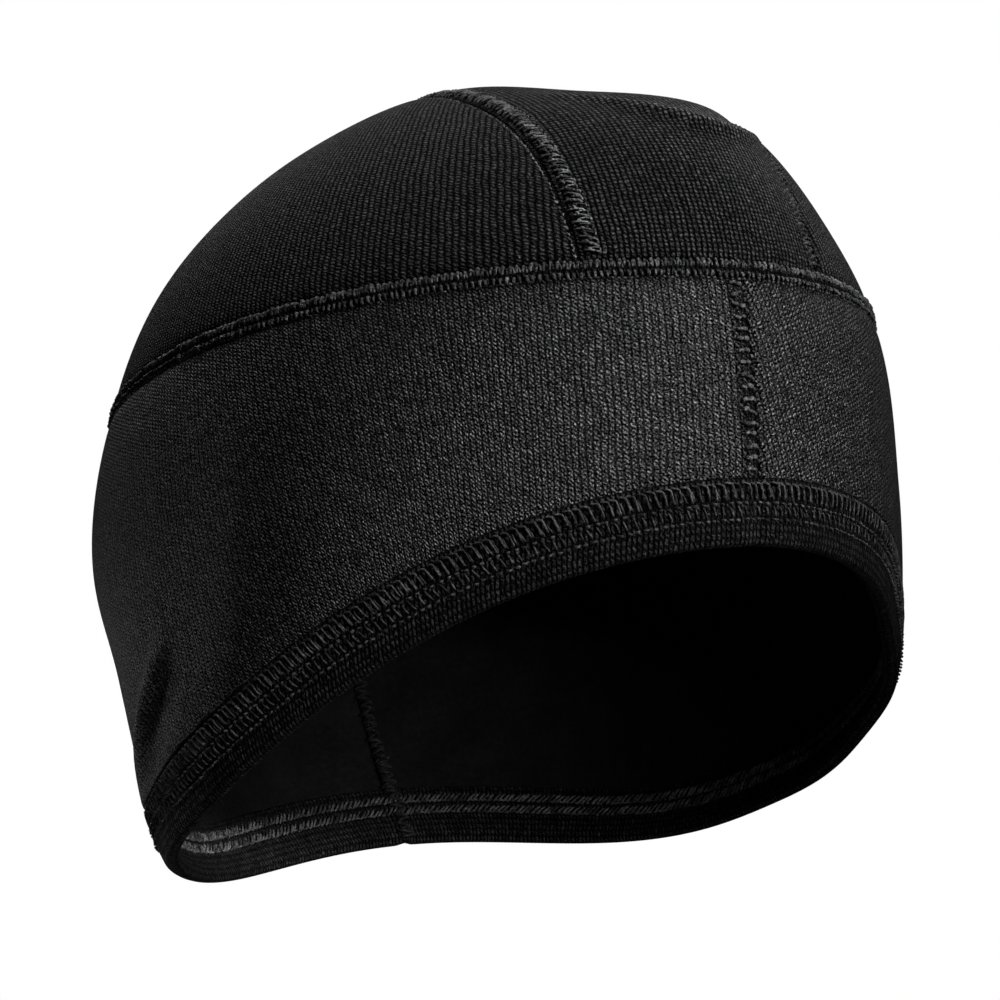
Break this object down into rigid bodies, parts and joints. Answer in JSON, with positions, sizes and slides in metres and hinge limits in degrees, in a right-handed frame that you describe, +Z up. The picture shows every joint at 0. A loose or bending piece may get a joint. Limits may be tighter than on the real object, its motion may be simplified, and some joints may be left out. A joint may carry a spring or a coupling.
{
  "type": "helmet liner cap",
  "caption": "Close-fitting thermal skull cap of brushed knit, with a panelled crown, a deep band over the forehead, ears and nape, and a folded, stitched hem.",
  "frame": {"origin": "the inside of the crown where the top of the head meets it", "axes": "+Z up out of the crown, the face looks along -Y, +X is the wearer's left"},
  "size_m": [0.175, 0.2023, 0.1712],
  "materials": {
    "crown_knit": "matte fine-gauge knit with a brushed back",
    "band_knit": "matte fine-gauge knit with a brushed back",
    "hem_knit": "matte fine-gauge knit, folded and cover-stitched",
    "thread": "soft textured sewing thread"
  },
  "bodies": {
    "root": {"crown_center": "crown_knit", "crown_left": "crown_knit", "crown_right": "crown_knit", "band_left": "band_knit", "band_right": "band_knit", "rim_hem": "hem_knit"}
  },
  "joints": []
}
